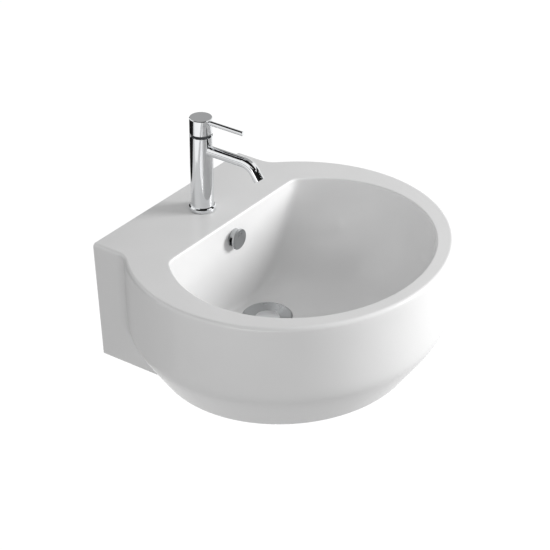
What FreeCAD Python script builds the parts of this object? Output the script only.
import FreeCAD, Part
import math
import os
import Sketcher

# Semi recessed basin with a single lever mixer tap, a push button waste and an overflow.
# Frame: +Z up, +X to the right seen from the front, the wall is the plane Y = 0 and the
# basin stands out from it towards -Y.  The origin is on the wall face, midway between
# the two fixing holes.

# ---------------------------------------------------------------- driving dimensions (mm)

SIZES = {
    # basin outline
    "basin_half_width": 250.0,
    "basin_depth": 452.0,
    "drum_half_depth": 232.3,
    "drum_draft": 2.5,
    "knee_drop": 124.0,
    "knee_blend": 12.0,
    "base_half_width": 197.0,
    "base_half_depth": 184.0,
    "base_shift": 4.0,
    "basin_height": 194.0,
    "block_half_width": 177.0,
    "block_taper": 12.0,
    "valley_radius": 34.0,
    "rim_round": 5.5,
    "base_round": 4.0,
    # bowl
    "bowl_half_width": 207.6,
    "bowl_half_depth": 183.1,
    "front_rim": 24.2,
    "deck_depth": 119.3,
    "bowl_drop": 144.0,
    "bowl_curve": 2.3,
    "bowl_floor_radius": 41.0,
    "wall_foot": 45.0,
    "corner_sharpness": 60.0,
    "floor_sharpness": 12.0,
    "lip_round": 3.0,
    # ceramic walls
    "shell_wall": 12.0,
    "deck_wall": 16.0,
    "skirt_top": 62.0,
    "back_wall": 14.0,
    # waste outlet in the ceramic
    "waste_from_wall": 180.5,
    "waste_hole_radius": 22.5,
    "waste_boss_radius": 38.0,
    "waste_boss_height": 38.0,
    "waste_recess_radius": 37.0,
    "waste_recess_depth": 6.5,
    # overflow in the ceramic
    "overflow_drop": 31.0,
    "overflow_hole_radius": 12.0,
    "overflow_seat_depth": 1.0,
    "duct_width": 26.0,
    "duct_depth": 10.0,
    "duct_wall": 8.0,
    # wall fixing
    "fixing_spacing": 280.0,
    "fixing_drop": 95.0,
    "fixing_hole_radius": 9.0,
    "fixing_bolt_radius": 5.0,
    "sleeve_flange_radius": 14.0,
    "sleeve_flange_thickness": 3.0,
    # tap body
    "tap_from_wall": 62.3,
    "tap_hole_radius": 17.5,
    "tap_radius": 17.1,
    "tap_wall": 2.3,
    "shoulder_height": 121.0,
    "foot_radius": 20.0,
    "foot_height": 6.0,
    "foot_bevel": 1.6,
    "foot_lip": 2.0,
    "foot_bore": 14.8,
    "foot_seal_thickness": 1.0,
    "water_floor": 12.0,
    "inlet_radius": 4.5,
    "inlet_spacing": 13.0,
    "inlet_forward": 4.0,
    # spout
    "spout_radius": 8.0,
    "spout_wall": 1.5,
    "spout_height": 99.5,
    "spout_straight": 76.0,
    "spout_bend_radius": 25.0,
    "spout_bend_angle": 55.0,
    "spout_tip": 7.0,
    "aerator_length": 6.0,
    "aerator_recess": 1.0,
    "aerator_wall": 1.2,
    # cartridge
    "cartridge_radius": 12.4,
    "cartridge_height": 26.0,
    "neck_radius": 8.6,
    "neck_bore": 6.85,
    "nut_height": 7.0,
    "nut_head_radius": 10.8,
    "nut_head_height": 2.6,
    "turret_drop": 9.0,
    "turret_rise": 2.0,
    "stem_width": 6.0,
    "stem_drop": 7.0,
    "stem_swing": 0.8,
    "pivot_pin_radius": 1.2,
    # handle
    "handle_gap": 3.8,
    "handle_height": 24.8,
    "handle_wall": 2.4,
    "handle_roof": 9.5,
    "handle_bevel": 1.0,
    "pivot_rise": 9.0,
    "lever_radius": 3.5,
    "lever_drop": 5.0,
    "lever_reach": 76.0,
    "lever_seat": 7.0,
    "stem_grip": 6.0,
    "grub_radius": 2.0,
    "grub_length": 8.0,
    "grub_rise": 3.0,
    "grub_socket": 1.1,
    "handle_crown": 0.8,
    "lever_bevel": 0.6,
    "turret_margin": 0.4,
    # tap fixing under the deck
    "stud_radius": 4.0,
    "stud_back": 10.5,
    "stud_grip": 8.0,
    "stud_tail": 8.0,
    "clamp_radius": 24.0,
    "clamp_slot": 11.7,
    "clamp_slot_front": 7.0,
    "clamp_gasket": 3.0,
    "clamp_plate": 2.5,
    "stud_nut_radius": 7.5,
    "stud_nut_height": 10.0,
    # overflow trim
    "overflow_cap_radius": 16.0,
    "overflow_cap_thickness": 2.2,
    "overflow_cap_bevel": 0.5,
    "overflow_neck_radius": 13.8,
    "overflow_neck_length": 10.0,
    "overflow_wall": 1.6,
    "overflow_window": 13.0,
    "overflow_window_margin": 1.8,
    "overflow_sleeve_length": 9.0,
    "overflow_post_radius": 2.5,
    "overflow_bar": 2.5,
    "overflow_bar_width": 8.0,
    # waste fitting
    "flange_radius": 36.0,
    "flange_seat_radius": 28.0,
    "flange_edge": 1.5,
    "flange_height": 6.0,
    "flange_dish": 5.0,
    "waste_radius": 20.95,
    "waste_wall": 2.2,
    "waste_tail": 34.0,
    "tail_groove_width": 1.0,
    "tail_groove_depth": 0.4,
    "waste_slot_width": 12.0,
    "waste_slot_height": 18.0,
    "waste_seal_thickness": 1.5,
    "lower_gasket_thickness": 5.0,
    "lower_gasket_radius": 31.0,
    "slip_washer_thickness": 1.5,
    "back_nut_radius": 31.0,
    "back_nut_height": 9.0,
    "plug_radius": 18.4,
    "plug_thickness": 4.0,
    "plug_dome": 0.8,
    "plug_below_edge": 3.0,
    "plug_seal_radius": 18.7,
    "plug_seal_width": 2.5,
    "plug_seal_thickness": 2.0,
    "plug_stem_radius": 3.0,
    "plug_stem_length": 30.0,
    "guide_radius": 6.0,
    "guide_length": 22.0,
    "bridge_height": 4.0,
    "bridge_width": 8.0,
    "bridge_drop": 24.0,
    # fits
    "running_clearance": 0.05,
    "seat_clearance": 0.2,
}


class Size:
    """A length that knows its value and the sheet expression that gives it."""

    def __init__(self, value, text):
        self.value = value
        self.text = text

    def joined(self, other, sign, value, swapped=False):
        text = other.text if isinstance(other, Size) else repr(float(other))
        first, second = (text, self.text) if swapped else (self.text, text)
        return Size(value, "(%s %s %s)" % (first, sign, second))

    def __float__(self):
        return self.value

    def __add__(self, other):
        return self.joined(other, "+", self.value + float(other))

    def __radd__(self, other):
        return self.joined(other, "+", float(other) + self.value, swapped=True)

    def __sub__(self, other):
        return self.joined(other, "-", self.value - float(other))

    def __rsub__(self, other):
        return self.joined(other, "-", float(other) - self.value, swapped=True)

    def __mul__(self, other):
        return self.joined(other, "*", self.value * float(other))

    def __rmul__(self, other):
        return self.joined(other, "*", float(other) * self.value, swapped=True)

    def __truediv__(self, other):
        return self.joined(other, "/", self.value / float(other))

    def __neg__(self):
        return Size(-self.value, "(-1 * %s)" % self.text)


doc = FreeCAD.newDocument("SemiRecessedBasin")
sheet = doc.addObject("Spreadsheet::Sheet", "Sizes")
for row, (name, number) in enumerate(SIZES.items(), start=1):
    sheet.set("A%d" % row, name)
    sheet.set("B%d" % row, repr(number))
    sheet.setAlias("B%d" % row, name)
doc.recompute()


class Dimensions:
    """The sheet's sizes by name."""


d = Dimensions()
for name in SIZES:
    setattr(d, name, Size(float(sheet.get(name)), "Sizes." + name))

ZERO = Size(0.0, "0")
nodes = {}


def bind(item, **lengths):
    """Ties properties of an object to the sheet."""
    for prop, length in lengths.items():
        item.setExpression(prop.replace("__", "."), length.text)


def put(item, x=ZERO, y=ZERO, z=ZERO, turn=None):
    """Places an object by sheet sizes, turned about its own origin when asked."""
    if turn is not None:
        item.Placement = FreeCAD.Placement(FreeCAD.Vector(0, 0, 0), turn)
    bind(item, Placement__Base__x=x, Placement__Base__y=y, Placement__Base__z=z)
    return item


def node(name, item):
    """Names an object as one sub-part of the basin."""
    item.Label = name
    nodes[name] = item
    return item


def turned(x, y, z, angle):
    return FreeCAD.Rotation(FreeCAD.Vector(x, y, z), angle)


# ---------------------------------------------------------------- sketches and bodies

def plane_of(body, role):
    for feature in body.Origin.OriginFeatures:
        if feature.Role == role:
            return feature
    raise ValueError(role)


def sketch_on(body, role):
    sketch = body.newObject("Sketcher::SketchObject", "Outline")
    sketch.AttachmentSupport = [(plane_of(body, role), "")]
    sketch.MapMode = "FlatFace"
    return sketch


def hold_point(sketch, line, end, first, second):
    """Holds one end of a sketch line at a sheet driven place."""
    for kind, axis, length in (("DistanceX", -2, first), ("DistanceY", -1, second)):
        if length is ZERO:
            sketch.addConstraint(Sketcher.Constraint("PointOnObject", line, end, axis))
        else:
            index = sketch.addConstraint(Sketcher.Constraint(kind, -1, 1, line, end, length.value))
            sketch.setExpression("Constraints[%d]" % index, length.text)


def closed_outline(sketch, corners):
    """Straight sided closed outline through sheet driven corners."""
    points = [FreeCAD.Vector(float(a), float(b), 0) for a, b in corners]
    for start, end in zip(points, points[1:] + points[:1]):
        sketch.addGeometry(Part.LineSegment(start, end), False)
    for line in range(len(points)):
        following = (line + 1) % len(points)
        sketch.addConstraint(Sketcher.Constraint("Coincident", line, 2, following, 1))
    for line, (a, b) in enumerate(corners):
        hold_point(sketch, line, 1, a, b)


def lathe(label, corners, x=ZERO, y=ZERO, z=ZERO):
    """A body turned about its Z axis from (radius, height) corners."""
    body = doc.addObject("PartDesign::Body", label)
    sketch = sketch_on(body, "XZ_Plane")
    closed_outline(sketch, corners)
    doc.recompute()
    turn = body.newObject("PartDesign::Revolution", "Turn")
    turn.Profile = sketch
    turn.ReferenceAxis = (sketch, ["V_Axis"])
    turn.Angle = 360.0
    doc.recompute()
    put(body, x, y, z)
    return body


def ring_corners(inner, outer, low, high):
    return [(inner, low), (outer, low), (outer, high), (inner, high)]


def rod(radius, length, x=ZERO, y=ZERO, z=ZERO, turn=None):
    item = doc.addObject("Part::Cylinder", "Rod")
    bind(item, Radius=radius, Height=length)
    return put(item, x, y, z, turn)


def block(length, width, height, x=ZERO, y=ZERO, z=ZERO):
    """A box centred on x, starting at y and z."""
    item = doc.addObject("Part::Box", "Block")
    bind(item, Length=length, Width=width, Height=height)
    return put(item, x - length / 2, y, z)


def hexagon(radius, height, x=ZERO, y=ZERO, z=ZERO):
    item = doc.addObject("Part::Prism", "Hexagon")
    item.Polygon = 6
    bind(item, Circumradius=radius, Height=height)
    return put(item, x, y, z)


def cut(base, *tools):
    for tool in tools:
        result = doc.addObject("Part::Cut", "Cut")
        result.Base = base
        result.Tool = tool
        base = result
    doc.recompute()
    return base


def common(first, second):
    result = doc.addObject("Part::Common", "Common")
    result.Base = first
    result.Tool = second
    doc.recompute()
    return result


def fused(*items):
    result = doc.addObject("Part::MultiFuse", "Fused")
    result.Shapes = list(items)
    result.Refine = True
    doc.recompute()
    return result


FORWARD = turned(1, 0, 0, 90)
BACKWARD = turned(1, 0, 0, -90)
ALONG_X = turned(0, 1, 0, 90)

# a straight cutter runs past the faces it opens: by this length, or at this many times
# the thickness that it goes through
OVERRUN = 1.0
THROUGH = 3

# heights and places shared by many pieces
rim = d.fixing_drop
basin_bottom = rim - d.basin_height
drum_y = d.drum_half_depth - d.basin_depth
bowl_y = d.front_rim + d.bowl_half_depth - d.basin_depth
deck_edge_y = -d.deck_depth
waste_y = -d.waste_from_wall
bowl_floor = rim - d.bowl_drop
recess_floor = bowl_floor - d.waste_recess_depth
boss_bottom = bowl_floor - d.waste_boss_height
tap_y = -d.tap_from_wall


# ---------------------------------------------------------------- ceramic basin

def ease(drop):
    """Share of the drum's draw-in reached at a drop below the rim: none above the knee,
    then growing evenly, with a round blend at the knee."""

    def bend(level):
        past = level - d.knee_drop.value
        return (math.hypot(past, d.knee_blend.value) + past) / 2

    return (bend(drop) - bend(0)) / (bend(d.basin_height.value) - bend(0))


def drum_at(drop, inset):
    """Half width, half depth and centre of the drum's ellipse at a drop below the rim."""
    share = ease(drop)
    draft = d.drum_draft.value * drop / d.basin_height.value
    half_width = d.basin_half_width.value - draft
    half_depth = d.drum_half_depth.value - draft
    half_width -= share * (half_width - d.base_half_width.value)
    half_depth -= share * (half_depth - d.base_half_depth.value)
    centre = drum_y.value + share * d.base_shift.value
    return half_width - inset, half_depth - inset, centre


HALVING_LIMIT = 1e-10


def valley(side, half_width, half_depth, radius):
    """Angle on the ellipse at which a round of the given radius, tangent to the block's
    side, touches it.  The angle is found by halving."""

    def beyond(angle):
        x = half_width * math.cos(angle)
        normal_x = half_depth * math.cos(angle)
        normal_y = half_width * math.sin(angle)
        return x + radius * normal_x / math.hypot(normal_x, normal_y) - side - radius

    low, high = 0.0, math.pi / 2
    while high - low > HALVING_LIMIT:
        middle = (low + high) / 2
        if beyond(middle) > 0:
            low = middle
        else:
            high = middle
    return low


SIDE_POINTS = 4
VALLEY_POINTS = 6
FRONT_POINTS = 60


def outline_at(drop, inset, back):
    """Closed outline of basin or skirt hollow at a drop below the rim: the drum's ellipse
    in front, a hollow round each side, and straight block sides back to the plane y = back.
    One smooth curve passes through points on these, and a straight line closes it."""
    half_width, half_depth, centre = drum_at(drop, inset)
    taper = d.block_taper.value * drop / d.basin_height.value
    side = d.block_half_width.value - taper - inset
    radius = d.valley_radius.value + inset
    touch = valley(side, half_width, half_depth, radius)
    normal = math.atan2(half_width * math.sin(touch), half_depth * math.cos(touch))
    middle_x = side + radius
    middle_y = centre + half_depth * math.sin(touch) + radius * math.sin(normal)
    z = rim.value - drop
    right = []
    for step in range(SIDE_POINTS):
        right.append((side, back + (middle_y - back) * step / SIDE_POINTS))
    for step in range(VALLEY_POINTS):
        turn = math.pi + normal * step / VALLEY_POINTS
        right.append((middle_x + radius * math.cos(turn), middle_y + radius * math.sin(turn)))
    front = []
    for step in range(FRONT_POINTS + 1):
        angle = touch - (math.pi + 2 * touch) * step / FRONT_POINTS
        front.append((half_width * math.cos(angle), centre + half_depth * math.sin(angle)))
    left = [(-x, y) for x, y in reversed(right)]
    points = [FreeCAD.Vector(x, y, z) for x, y in right + front + left]
    curve = Part.BSplineCurve()
    curve.interpolate(points)
    closing = Part.LineSegment(points[-1], points[0])
    return Part.Wire([curve.toShape(), closing.toShape()])


ROUND_STEPS = 4
KNEE_STEPS = 6
BEHIND_WALL = 10.0


def wall_levels(top, bottom):
    """Drops at which the drum's wall bends: close together round the knee."""
    knee = d.knee_drop.value
    reach = 2 * d.knee_blend.value
    bends = [knee + reach * (2 * step / KNEE_STEPS - 1) for step in range(KNEE_STEPS + 1)]
    return [top] + [bend for bend in bends if top < bend < bottom] + [bottom]


def outer_solid():
    """Drum and block with rounded top and bottom edges, as strips between level outlines.
    The strips run on past the wall plane, where one flat cut makes the back face."""
    height = d.basin_height.value
    top = d.rim_round.value
    base = d.base_round.value
    levels = []
    for step in range(ROUND_STEPS):
        angle = math.pi / 2 * step / ROUND_STEPS
        levels.append((top * (1 - math.cos(angle)), top * (1 - math.sin(angle))))
    levels += [(drop, 0.0) for drop in wall_levels(top, height - base)]
    for step in range(1, ROUND_STEPS + 1):
        angle = math.pi / 2 * step / ROUND_STEPS
        levels.append((height - base * (1 - math.sin(angle)), base * (1 - math.cos(angle))))
    wires = [outline_at(drop, inset, BEHIND_WALL) for drop, inset in levels]
    behind = bar(0, 0, basin_bottom.value - OVERRUN, THROUGH * d.block_half_width.value,
                 THROUGH * BEHIND_WALL, height + 2 * OVERRUN)
    return Part.makeLoft(wires, True, True).cut(behind)


def skirt_room():
    """Space inside the skirt's wall, from its top down through the open bottom."""
    inset = d.shell_wall.value
    bottom = d.basin_height.value
    levels = wall_levels(d.skirt_top.value, bottom)
    wires = [outline_at(drop, inset, -d.back_wall.value) for drop in levels]
    return Part.makeLoft(wires, True, True)


OUTLINE_STEPS = 96
CORNER_CROWDING = 0.17


def bowl_outline(share, outset, drop):
    """Closed outline of the bowl at a share of its width left: an ellipse whose back is
    levelled off by the deck edge.  Along each direction from the centre the reach is a
    smooth smaller of the ellipse's and the back wall's, sharper at the rim than at the floor."""
    floor = d.bowl_floor_radius.value
    half_width = floor + share * (d.bowl_half_width.value - floor) + outset
    half_depth = floor + share * (d.bowl_half_depth.value - floor) + outset
    centre = waste_y.value + share * (bowl_y.value - waste_y.value)
    foot = waste_y.value + d.wall_foot.value
    wall = foot + share * (deck_edge_y.value - foot) + outset
    sharp = d.floor_sharpness.value + share ** 2 * (d.corner_sharpness.value - d.floor_sharpness.value)
    points = []
    for step in range(OUTLINE_STEPS):
        turn = 2 * math.pi * step / OUTLINE_STEPS
        angle = turn + CORNER_CROWDING * math.sin(4 * turn)
        reach = 1 / math.hypot(math.cos(angle) / half_width, math.sin(angle) / half_depth)
        if math.sin(angle) > 0:
            to_wall = (wall - centre) / math.sin(angle)
            reach = reach / (1 + (reach / to_wall) ** sharp) ** (1 / sharp)
        x = reach * math.cos(angle)
        y = centre + reach * math.sin(angle)
        points.append(FreeCAD.Vector(x, y, rim.value - drop))
    curve = Part.BSplineCurve()
    curve.interpolate(Points=points, PeriodicFlag=True)
    return Part.Wire([curve.toShape()])


def bowl_share_at(drop):
    """Share of the bowl's width left at a drop: steep walls, rounding to the floor."""
    power = d.bowl_curve.value
    return max(0.0, 1 - (drop / d.bowl_drop.value) ** power) ** (1 / power)


BOWL_LEVELS = 10


def bowl_solid(top, outset):
    """The bowl's hollow from a drop below the rim down, or with an outset the outside of
    its wall.  Levels crowd towards the floor, where the wall turns in fastest."""
    depth = d.bowl_drop.value
    wires = []
    for level in range(BOWL_LEVELS + 1):
        drop = top + (depth - top) * math.sin(math.pi / 2 * level / BOWL_LEVELS)
        share = bowl_share_at(drop)
        wires.append(bowl_outline(share, outset, drop + outset * (1 - share)))
    return Part.makeLoft(wires, True, False)


def bowl_hollow():
    """The bowl's hollow, with the flare that rounds its edge at the rim."""
    radius = d.lip_round.value
    share = bowl_share_at(radius)
    wires = []
    for step in range(ROUND_STEPS + 1):
        angle = math.pi / 2 * step / ROUND_STEPS
        drop = radius * (1 - math.cos(angle))
        wires.append(bowl_outline(share, radius * (1 - math.sin(angle)), drop))
    flare = Part.makeLoft(wires, True, True)
    return flare.fuse(bowl_solid(radius, 0.0))


def bar(x, y, z, width, depth, height):
    """Plain box centred on x, from y and z up."""
    return Part.makeBox(width, depth, height, FreeCAD.Vector(x - width / 2, y, z))


def upright(radius, height, x, y, z):
    return Part.makeCylinder(radius, height, FreeCAD.Vector(x, y, z))


def across(radius, length, x, y, z):
    """Cylinder lying along Y, from y on."""
    return Part.makeCylinder(radius, length, FreeCAD.Vector(x, y, z), FreeCAD.Vector(0, 1, 0))


def underside_hollow():
    """Room inside the skirt and under the deck, open below, outside the bowl's wall, the
    waste boss and the rib that carries the overflow duct."""
    wall = d.shell_wall.value
    back = -d.back_wall.value
    skirt = skirt_room()
    inside = d.block_half_width.value - d.block_taper.value - wall
    deck_low = rim.value - d.skirt_top.value - OVERRUN
    deck_room = bar(0, deck_edge_y.value, deck_low, 2 * inside, d.deck_depth.value + back,
                    rim.value - d.deck_wall.value - deck_low)
    hollow = skirt.fuse(deck_room)
    shell = bowl_solid(0.0, wall)
    rib_width = d.duct_width.value + 2 * d.duct_wall.value
    rib_back = deck_edge_y.value + wall + d.duct_depth.value + d.duct_wall.value
    rib_top = rim.value - d.overflow_drop.value + d.overflow_hole_radius.value + d.duct_wall.value
    rib = bar(0, waste_y.value, boss_bottom.value, rib_width, rib_back - waste_y.value,
              rib_top - boss_bottom.value)
    boss = upright(d.waste_boss_radius.value, d.waste_boss_height.value, 0, waste_y.value,
                   boss_bottom.value)
    return hollow.cut([shell, rib, boss])


def water_ways():
    """Waste hole with its recess, overflow hole and the duct that joins them."""
    y = waste_y.value
    hole = upright(d.waste_hole_radius.value, d.basin_height.value, 0, y, basin_bottom.value)
    recess = upright(d.waste_recess_radius.value, d.bowl_drop.value / 2, 0, y, recess_floor.value)
    duct_front = deck_edge_y.value + d.shell_wall.value
    overflow_z = rim.value - d.overflow_drop.value
    entry = across(d.overflow_hole_radius.value, duct_front + d.duct_depth.value / 2 - y, 0, y,
                   overflow_z)
    seat_y = deck_edge_y.value + d.overflow_seat_depth.value
    seat = across(d.overflow_neck_radius.value + d.seat_clearance.value, seat_y - y, 0, y,
                  overflow_z)
    floor = boss_bottom.value + d.duct_wall.value
    drop = bar(0, duct_front, floor, d.duct_width.value, d.duct_depth.value,
               overflow_z + d.overflow_hole_radius.value - floor)
    run = bar(0, y, floor, d.duct_width.value, duct_front + d.duct_depth.value - y,
              d.duct_depth.value)
    return [hole, recess, entry, seat, drop, run]


def fastening_holes():
    """Tap hole in the deck and the two fixing holes in the back wall."""
    deck = d.deck_wall.value
    back = d.back_wall.value
    half = d.fixing_spacing.value / 2
    tap = upright(d.tap_hole_radius.value, THROUGH * deck, 0, tap_y.value, rim.value - 2 * deck)
    return [tap] + [across(d.fixing_hole_radius.value, THROUGH * back, x, -2 * back, 0)
                    for x in (-half, half)]


def ceramic():
    body = outer_solid().cut(bowl_hollow())
    body = body.cut(underside_hollow())
    return body.cut(water_ways() + fastening_holes())


basin = doc.addObject("Part::Feature", "BasinShape")
basin.Shape = ceramic()
basin.Placement = FreeCAD.Placement()
node("basin", basin)


# ---------------------------------------------------------------- wall fixing sleeves

def fixing_sleeve(side):
    """Flanged bush that centres a wall bolt in the ceramic hole, pushed in from inside."""
    barrel = d.fixing_hole_radius - d.seat_clearance
    tube = rod(barrel, d.back_wall, side * d.fixing_spacing / 2, -d.back_wall, ZERO, BACKWARD)
    flange = rod(d.sleeve_flange_radius, d.sleeve_flange_thickness, side * d.fixing_spacing / 2,
                 -d.back_wall - d.sleeve_flange_thickness, ZERO, BACKWARD)
    bore = rod(d.fixing_bolt_radius, THROUGH * d.back_wall, side * d.fixing_spacing / 2,
               -2 * d.back_wall, ZERO, BACKWARD)
    return cut(fused(tube, flange), bore)


def together(*items):
    """Separate like solids that share one node."""
    group = doc.addObject("Part::Compound", "Group")
    group.Links = list(items)
    doc.recompute()
    return group


node("fixing_sleeves", together(fixing_sleeve(-1), fixing_sleeve(1)))


# ---------------------------------------------------------------- tap foot and body

foot_floor = rim + d.foot_seal_thickness
body_base = foot_floor + d.foot_lip
shoulder = rim + d.shoulder_height
cartridge_seat = shoulder - d.nut_height - d.cartridge_height
cartridge_bore = d.cartridge_radius + d.running_clearance
tap_bore = d.tap_radius - d.tap_wall

node("foot_seal", lathe("FootSeal", ring_corners(d.tap_hole_radius, d.foot_radius - d.foot_bevel,
                                                 ZERO, d.foot_seal_thickness), ZERO, tap_y, rim))

foot_fit = d.tap_radius + d.running_clearance
node("tap_foot", lathe("TapFoot", [
    (d.foot_bore, ZERO),
    (d.foot_radius, ZERO),
    (d.foot_radius, d.foot_height - d.foot_bevel),
    (d.foot_radius - d.foot_bevel, d.foot_height),
    (foot_fit, d.foot_height),
    (foot_fit, d.foot_lip),
    (d.foot_bore, d.foot_lip),
], ZERO, tap_y, foot_floor))

seat_up = cartridge_seat - body_base
nut_low = shoulder - d.nut_height - body_base
body_top = shoulder - body_base
tap_tube = lathe("TapTube", [
    (tap_bore, ZERO),
    (d.tap_radius, ZERO),
    (d.tap_radius, body_top),
    (tap_bore, body_top),
    (tap_bore, nut_low),
    (cartridge_bore, nut_low),
    (cartridge_bore, seat_up),
    (ZERO, seat_up),
    (ZERO, seat_up - d.water_floor),
    (tap_bore, seat_up - d.water_floor),
], ZERO, tap_y, body_base)

floor_low = cartridge_seat - d.water_floor
spout_z = rim + d.spout_height
drillings = [rod(d.spout_radius, d.tap_radius, ZERO, tap_y, spout_z, FORWARD)]
inlet_y = tap_y - d.inlet_forward
for side in (-1, 1):
    drillings.append(rod(d.inlet_radius, d.water_floor, side * d.inlet_spacing / 2, inlet_y, floor_low))
drillings.append(rod(d.stud_radius, d.stud_grip, ZERO, tap_y + d.stud_back, floor_low))
node("tap_body", cut(tap_tube, *drillings))


# ---------------------------------------------------------------- spout and aerator

def bent_tube(label, outer, inner, start, straight, bend_radius, bend_angle, tail):
    """Round tube along a straight run, a bend downwards and a short tail, in the plane
    X = 0.  It runs towards -Y from its placement."""
    body = doc.addObject("PartDesign::Body", label)
    path = body.newObject("Sketcher::SketchObject", "Path")
    path.AttachmentSupport = [(plane_of(body, "YZ_Plane"), "")]
    path.MapMode = "FlatFace"
    angle = math.radians(bend_angle.value)
    first = FreeCAD.Vector(-start.value, 0, 0)
    bend_start = FreeCAD.Vector(-straight.value, 0, 0)
    centre = FreeCAD.Vector(-straight.value, -bend_radius.value, 0)
    bend_end = centre + FreeCAD.Vector(-math.sin(angle), math.cos(angle), 0) * bend_radius.value
    along = FreeCAD.Vector(-math.cos(angle), -math.sin(angle), 0)
    path.addGeometry(Part.LineSegment(first, bend_start), False)
    path.addGeometry(Part.ArcOfCircle(Part.Circle(centre, FreeCAD.Vector(0, 0, 1), bend_radius.value),
                                      math.pi / 2, math.pi / 2 + angle), False)
    path.addGeometry(Part.LineSegment(bend_end, bend_end + along * tail.value), False)
    for constraint in (("PointOnObject", 0, 1, -1), ("Horizontal", 0),
                       ("Tangent", 0, 2, 1, 1), ("Tangent", 1, 2, 2, 1)):
        path.addConstraint(Sketcher.Constraint(*constraint))
    driven = (
        (("DistanceX", 0, 1, -1, 1, start.value), start.text),
        (("DistanceX", 0, 2, -1, 1, straight.value), straight.text),
        (("Radius", 1, bend_radius.value), bend_radius.text),
        (("Distance", 2, tail.value), tail.text),
        (("Angle", 1, angle), "%s * 1 deg" % bend_angle.text),
    )
    for constraint, text in driven:
        index = path.addConstraint(Sketcher.Constraint(*constraint))
        path.setExpression("Constraints[%d]" % index, text)
    ring = body.newObject("Sketcher::SketchObject", "Ring")
    ring.AttachmentSupport = [(plane_of(body, "XZ_Plane"), "")]
    ring.MapMode = "FlatFace"
    ring.AttachmentOffset = FreeCAD.Placement(FreeCAD.Vector(0, 0, start.value), FreeCAD.Rotation())
    ring.setExpression("AttachmentOffset.Base.z", start.text)
    for radius in (outer, inner):
        circle = ring.addGeometry(Part.Circle(FreeCAD.Vector(0, 0, 0), FreeCAD.Vector(0, 0, 1),
                                              radius.value), False)
        ring.addConstraint(Sketcher.Constraint("Coincident", circle, 3, -1, 1))
        index = ring.addConstraint(Sketcher.Constraint("Radius", circle, radius.value))
        ring.setExpression("Constraints[%d]" % index, radius.text)
    doc.recompute()
    pipe = body.newObject("PartDesign::AdditivePipe", "Pipe")
    pipe.Profile = ring
    pipe.Spine = (path, ["Edge1", "Edge2", "Edge3"])
    doc.recompute()
    return body


spout_start = cartridge_bore + d.seat_clearance
spout = bent_tube("SpoutTube", d.spout_radius, d.spout_radius - d.spout_wall, spout_start,
                  d.spout_straight, d.spout_bend_radius, d.spout_bend_angle, d.spout_tip)
put(spout, ZERO, tap_y, spout_z)
node("spout", spout)

bend_sine = Size(math.sin(math.radians(d.spout_bend_angle.value)),
                 "sin(%s * 1 deg)" % d.spout_bend_angle.text)
bend_cosine = Size(math.cos(math.radians(d.spout_bend_angle.value)),
                   "cos(%s * 1 deg)" % d.spout_bend_angle.text)
tip_y = tap_y - d.spout_straight - d.spout_bend_radius * bend_sine - d.spout_tip * bend_cosine
tip_z = spout_z - d.spout_bend_radius * (1.0 - bend_cosine) - d.spout_tip * bend_sine


def at_tip(item):
    """Lays a turned piece on the spout's mouth, its axis along the stream."""
    item.Placement = FreeCAD.Placement(FreeCAD.Vector(0, 0, 0),
                                       turned(1, 0, 0, 90 + d.spout_bend_angle.value))
    item.setExpression("Placement.Rotation.Angle", "(90 + %s) * 1 deg" % d.spout_bend_angle.text)
    return put(item, ZERO, tip_y, tip_z)


spout_bore = d.spout_radius - d.spout_wall
insert_radius = d.spout_radius - d.aerator_wall
node("aerator_housing", at_tip(lathe("AeratorHousing", [
    (insert_radius, ZERO),
    (d.spout_radius, ZERO),
    (d.spout_radius, d.aerator_length),
    (insert_radius, d.aerator_length),
])))

insert = lathe("AeratorDisc", [
    (ZERO, ZERO),
    (insert_radius, ZERO),
    (insert_radius, d.aerator_length - d.aerator_recess),
    (ZERO, d.aerator_length - d.aerator_recess),
])
JET_COUNT = 6
JET_RING = 0.55
JET_SHARE = 0.2
jets = []
for index in range(JET_COUNT):
    angle = 2 * math.pi * index / JET_COUNT
    ring_radius = insert_radius * JET_RING
    jets.append(rod(insert_radius * JET_SHARE, 2 * d.aerator_length, ring_radius * math.cos(angle),
                    ring_radius * math.sin(angle), -d.aerator_length / 2))
node("aerator_insert", at_tip(cut(insert, together(*jets))))


# ---------------------------------------------------------------- cartridge and handle

cap_low = shoulder + d.handle_gap
cap_top = cap_low + d.handle_height
pivot_z = cap_low + d.pivot_rise
cartridge_top = cartridge_seat + d.cartridge_height
turret_low = pivot_z - d.turret_drop
turret_top = pivot_z + d.turret_rise
turret_radius = d.neck_bore - d.running_clearance

node("cartridge_body", lathe("CartridgeBody", [
    (ZERO, ZERO),
    (d.cartridge_radius, ZERO),
    (d.cartridge_radius, d.cartridge_height),
    (d.neck_radius, d.cartridge_height),
    (d.neck_radius, turret_top - cartridge_seat),
    (d.neck_bore, turret_top - cartridge_seat),
    (d.neck_bore, turret_low - cartridge_seat),
    (ZERO, turret_low - cartridge_seat),
], ZERO, tap_y, cartridge_seat))

nut_bore = d.neck_radius + d.seat_clearance
nut_radius = tap_bore - d.running_clearance
node("cartridge_nut", lathe("CartridgeNut", [
    (nut_bore, ZERO),
    (nut_radius, ZERO),
    (nut_radius, d.nut_height),
    (d.nut_head_radius, d.nut_height),
    (d.nut_head_radius, d.nut_height + d.nut_head_height),
    (nut_bore, d.nut_height + d.nut_head_height),
], ZERO, tap_y, cartridge_top))

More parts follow.
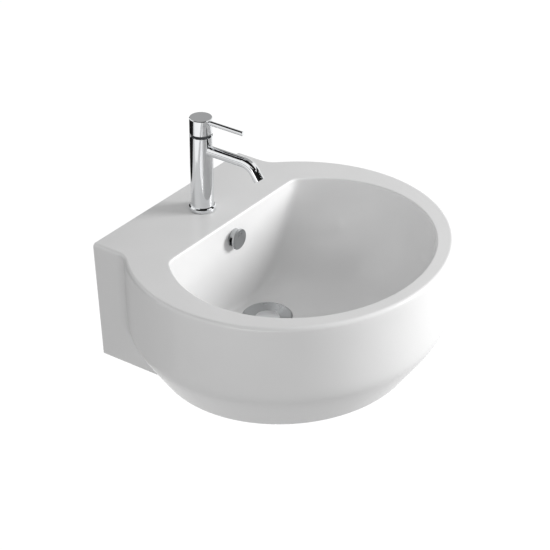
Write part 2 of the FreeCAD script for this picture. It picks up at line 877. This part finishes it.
turret = lathe("TurretRound", [
    (ZERO, ZERO),
    (turret_radius, ZERO),
    (turret_radius, turret_top - turret_low),
    (ZERO, turret_top - turret_low),
], ZERO, tap_y, turret_low)
slot_width = d.stem_width + 2 * d.seat_clearance
slot = block(slot_width, THROUGH * turret_radius, d.turret_drop + d.turret_rise,
             ZERO, tap_y - THROUGH * turret_radius / 2, pivot_z - d.stem_drop - d.stem_swing)
pin_length = 2 * turret_radius - 2 * d.turret_margin
pin_start = -(turret_radius - d.turret_margin)
node("cartridge_turret", cut(turret, slot,
                             rod(d.pivot_pin_radius, pin_length, pin_start, tap_y, pivot_z, ALONG_X)))
node("stem_pivot_pin", rod(d.pivot_pin_radius, pin_length, pin_start, tap_y, pivot_z, ALONG_X))

roof_low = cap_top - d.handle_roof
stem_bar = block(d.stem_width, d.stem_width, roof_low + d.stem_grip - pivot_z + d.stem_drop,
                 ZERO, tap_y - d.stem_width / 2, pivot_z - d.stem_drop)
node("cartridge_stem", cut(stem_bar, rod(d.pivot_pin_radius + d.running_clearance, 2 * pin_length,
                                         -pin_length, tap_y, pivot_z, ALONG_X)))

cap_bore = d.tap_radius - d.handle_wall
cap_round = lathe("HandleRound", [
    (cap_bore, ZERO),
    (d.tap_radius - d.handle_bevel, ZERO),
    (d.tap_radius, d.handle_bevel),
    (d.tap_radius, d.handle_height - d.handle_crown),
    (d.tap_radius - d.handle_crown, d.handle_height),
    (ZERO, d.handle_height),
    (ZERO, d.handle_height - d.handle_roof),
    (cap_bore, d.handle_height - d.handle_roof),
], ZERO, tap_y, cap_low)
lever_z = cap_top - d.lever_drop
lever_start = d.tap_radius - d.lever_seat
grub_z = roof_low + d.grub_rise
node("handle_cap", cut(
    cap_round,
    block(d.stem_width, d.stem_width, d.stem_grip, ZERO, tap_y - d.stem_width / 2, roof_low),
    rod(d.lever_radius, 2 * d.tap_radius, ZERO, tap_y - lever_start, lever_z, FORWARD),
    rod(d.grub_radius, 2 * d.tap_radius, ZERO, tap_y + d.stem_width / 2, grub_z, BACKWARD)))

node("lever_pin", lathe("LeverPin", [
    (ZERO, ZERO),
    (d.lever_radius, ZERO),
    (d.lever_radius, d.lever_reach - lever_start - d.lever_bevel),
    (d.lever_radius - d.lever_bevel, d.lever_reach - lever_start),
    (ZERO, d.lever_reach - lever_start),
]))
put(nodes["lever_pin"], ZERO, tap_y - lever_start, lever_z, FORWARD)

grub_start = tap_y + d.stem_width / 2
key_socket = hexagon(d.grub_socket, d.grub_length)
put(key_socket, ZERO, grub_start + d.grub_length / 2, grub_z, BACKWARD)
node("handle_grub_screw", cut(
    rod(d.grub_radius, d.grub_length, ZERO, grub_start, grub_z, BACKWARD), key_socket))


# ---------------------------------------------------------------- tap fixing under the deck

deck_low = rim - d.deck_wall
gasket_low = deck_low - d.clamp_gasket
plate_low = gasket_low - d.clamp_plate
stud_low = plate_low - d.stud_nut_height - d.stud_tail
stud_y = tap_y + d.stud_back


def horseshoe(thickness, z):
    """Disc with a slot open to the front for the water pipes and a hole for the stud."""
    disc = rod(d.clamp_radius, thickness, ZERO, tap_y, z)
    throat = rod(d.clamp_slot, THROUGH * thickness, ZERO, tap_y - d.clamp_slot_front, z - thickness)
    mouth = block(2 * d.clamp_slot, 2 * d.clamp_radius, THROUGH * thickness, ZERO,
                  tap_y - d.clamp_slot_front - 2 * d.clamp_radius, z - thickness)
    hole = rod(d.stud_radius + d.seat_clearance, THROUGH * thickness, ZERO, stud_y, z - thickness)
    return cut(disc, fused(throat, mouth), hole)


node("clamp_gasket", horseshoe(d.clamp_gasket, gasket_low))
node("clamp_plate", horseshoe(d.clamp_plate, plate_low))
node("clamp_stud", rod(d.stud_radius, floor_low + d.stud_grip - stud_low, ZERO, stud_y, stud_low))
node("clamp_nut", cut(hexagon(d.stud_nut_radius, d.stud_nut_height, ZERO, stud_y,
                              plate_low - d.stud_nut_height),
                      rod(d.stud_radius, THROUGH * d.stud_nut_height, ZERO, stud_y,
                          plate_low - 2 * d.stud_nut_height)))


# ---------------------------------------------------------------- overflow trim

overflow_z = rim - d.overflow_drop
seat_y = deck_edge_y + d.overflow_seat_depth
neck_front = seat_y - d.overflow_neck_length
sleeve_radius = d.overflow_hole_radius - d.seat_clearance
overflow_length = d.overflow_neck_length + d.overflow_sleeve_length
neck_bore = d.overflow_neck_radius - d.overflow_wall
sleeve_bore = sleeve_radius - d.overflow_wall

overflow_tube = lathe("OverflowTube", [
    (neck_bore, ZERO),
    (d.overflow_neck_radius, ZERO),
    (d.overflow_neck_radius, d.overflow_neck_length),
    (sleeve_radius, d.overflow_neck_length),
    (sleeve_radius, overflow_length),
    (sleeve_bore, overflow_length),
    (sleeve_bore, d.overflow_neck_length - d.overflow_wall),
    (neck_bore, d.overflow_neck_length - d.overflow_wall),
])
put(overflow_tube, ZERO, neck_front, overflow_z, BACKWARD)
window_length = d.overflow_neck_length - 2 * d.overflow_window_margin - d.overflow_wall
windows = block(THROUGH * d.overflow_neck_radius, window_length, d.overflow_window,
                ZERO, neck_front + d.overflow_window_margin, overflow_z - d.overflow_window / 2)
bridge_bar = block(2 * sleeve_bore, d.overflow_bar, d.overflow_bar_width, ZERO,
                   neck_front + overflow_length - d.overflow_bar, overflow_z - d.overflow_bar_width / 2)
post_hole = rod(d.overflow_post_radius, 2 * overflow_length, ZERO, neck_front, overflow_z, BACKWARD)
node("overflow_body", cut(fused(cut(overflow_tube, windows), bridge_bar), post_hole))

node("overflow_cap", lathe("OverflowCap", [
    (ZERO, ZERO),
    (d.overflow_cap_radius - d.overflow_cap_bevel, ZERO),
    (d.overflow_cap_radius, d.overflow_cap_bevel),
    (d.overflow_cap_radius, d.overflow_cap_thickness),
    (d.overflow_post_radius, d.overflow_cap_thickness),
    (d.overflow_post_radius, d.overflow_cap_thickness + overflow_length),
    (ZERO, d.overflow_cap_thickness + overflow_length),
]))
put(nodes["overflow_cap"], ZERO, neck_front - d.overflow_cap_thickness, overflow_z, BACKWARD)


# ---------------------------------------------------------------- waste fitting

flange_low = recess_floor + d.waste_seal_thickness
flange_top = flange_low + d.flange_height
waste_bore = d.waste_radius - d.waste_wall
gasket_bottom = boss_bottom - d.lower_gasket_thickness
washer_bottom = gasket_bottom - d.slip_washer_thickness
nut_bottom = washer_bottom - d.back_nut_height
waste_bottom = nut_bottom - d.tail_groove_width - d.waste_tail

node("waste_seal", lathe("WasteSeal", ring_corners(
    d.waste_hole_radius, d.flange_seat_radius, ZERO, d.waste_seal_thickness),
    ZERO, waste_y, recess_floor))

waste_up = flange_low - waste_bottom
groove_top = d.waste_tail + d.tail_groove_width
waste_tube = lathe("WasteTube", [
    (waste_bore, ZERO),
    (d.waste_radius, ZERO),
    (d.waste_radius, d.waste_tail),
    (d.waste_radius - d.tail_groove_depth, d.waste_tail),
    (d.waste_radius - d.tail_groove_depth, groove_top),
    (d.waste_radius, groove_top),
    (d.waste_radius, waste_up),
    (d.flange_seat_radius, waste_up),
    (d.flange_radius, waste_up + d.flange_height - d.flange_edge),
    (d.flange_radius, waste_up + d.flange_height),
    (d.flange_radius - d.flange_edge, waste_up + d.flange_height),
    (waste_bore, waste_up + d.flange_height - d.flange_dish),
], ZERO, waste_y, waste_bottom)
slot_low = boss_bottom + d.duct_wall
node("waste_body", cut(waste_tube, block(
    THROUGH * d.waste_radius, d.waste_slot_width, d.waste_slot_height,
    ZERO, waste_y - d.waste_slot_width / 2, slot_low)))

thread_fit = d.waste_radius + d.running_clearance
node("lower_gasket", lathe("LowerGasket", ring_corners(
    thread_fit, d.lower_gasket_radius, ZERO, d.lower_gasket_thickness),
    ZERO, waste_y, gasket_bottom))
node("slip_washer", lathe("SlipWasher", ring_corners(
    thread_fit, d.lower_gasket_radius, ZERO, d.slip_washer_thickness),
    ZERO, waste_y, washer_bottom))
node("back_nut", cut(hexagon(d.back_nut_radius, d.back_nut_height, ZERO, waste_y, nut_bottom),
                     rod(thread_fit, THROUGH * d.back_nut_height, ZERO, waste_y,
                         nut_bottom - d.back_nut_height)))

# the push button plug, its seal ring, and the click unit on a bridge across the waste body
plug_top = flange_top - d.plug_below_edge
plug_low = plug_top - d.plug_thickness
bridge_top = plug_low - d.bridge_drop
seal_seat = d.plug_radius - d.plug_seal_width
node("plug", lathe("Plug", [
    (ZERO, -d.plug_stem_length),
    (d.plug_stem_radius, -d.plug_stem_length),
    (d.plug_stem_radius, ZERO),
    (seal_seat, ZERO),
    (seal_seat, d.plug_seal_thickness),
    (d.plug_radius, d.plug_seal_thickness),
    (d.plug_radius, d.plug_thickness - d.plug_dome),
    (d.plug_radius / 2, d.plug_thickness - d.plug_dome / 4),
    (ZERO, d.plug_thickness),
], ZERO, waste_y, plug_low))
node("plug_seal", lathe("PlugSeal", ring_corners(
    seal_seat, d.plug_seal_radius, ZERO, d.plug_seal_thickness), ZERO, waste_y, plug_low))

guide_bore = d.plug_stem_radius + d.running_clearance
bridge_low = bridge_top - d.bridge_height
bridge = common(
    block(THROUGH * waste_bore, d.bridge_width, d.bridge_height, ZERO,
          waste_y - d.bridge_width / 2, bridge_low),
    rod(waste_bore, d.bridge_height, ZERO, waste_y, bridge_low))
guide = rod(d.guide_radius, d.guide_length, ZERO, waste_y, bridge_top - d.guide_length / 2)
guide_hole = rod(guide_bore, THROUGH * d.guide_length, ZERO, waste_y, bridge_top - 2 * d.guide_length)
node("click_unit", cut(fused(bridge, guide), guide_hole))


# ---------------------------------------------------------------- check and write

def write_parts():
    """Checks every object and sub-part, then writes each sub-part's solids."""
    doc.recompute()
    for item in doc.Objects:
        if "Invalid" in item.State or "Error" in item.State:
            raise RuntimeError("failed object: %s %s" % (item.Label, item.State))
    os.makedirs("parts", exist_ok=True)
    for name, item in nodes.items():
        shape = item.Shape
        if shape.isNull() or not shape.isValid() or not shape.Solids:
            raise RuntimeError("bad shape: %s" % name)
        shape.exportStep("parts/%s.step" % name)
        print("%-20s %d solid, %10.1f mm3" % (name, len(shape.Solids), shape.Volume))


write_parts()
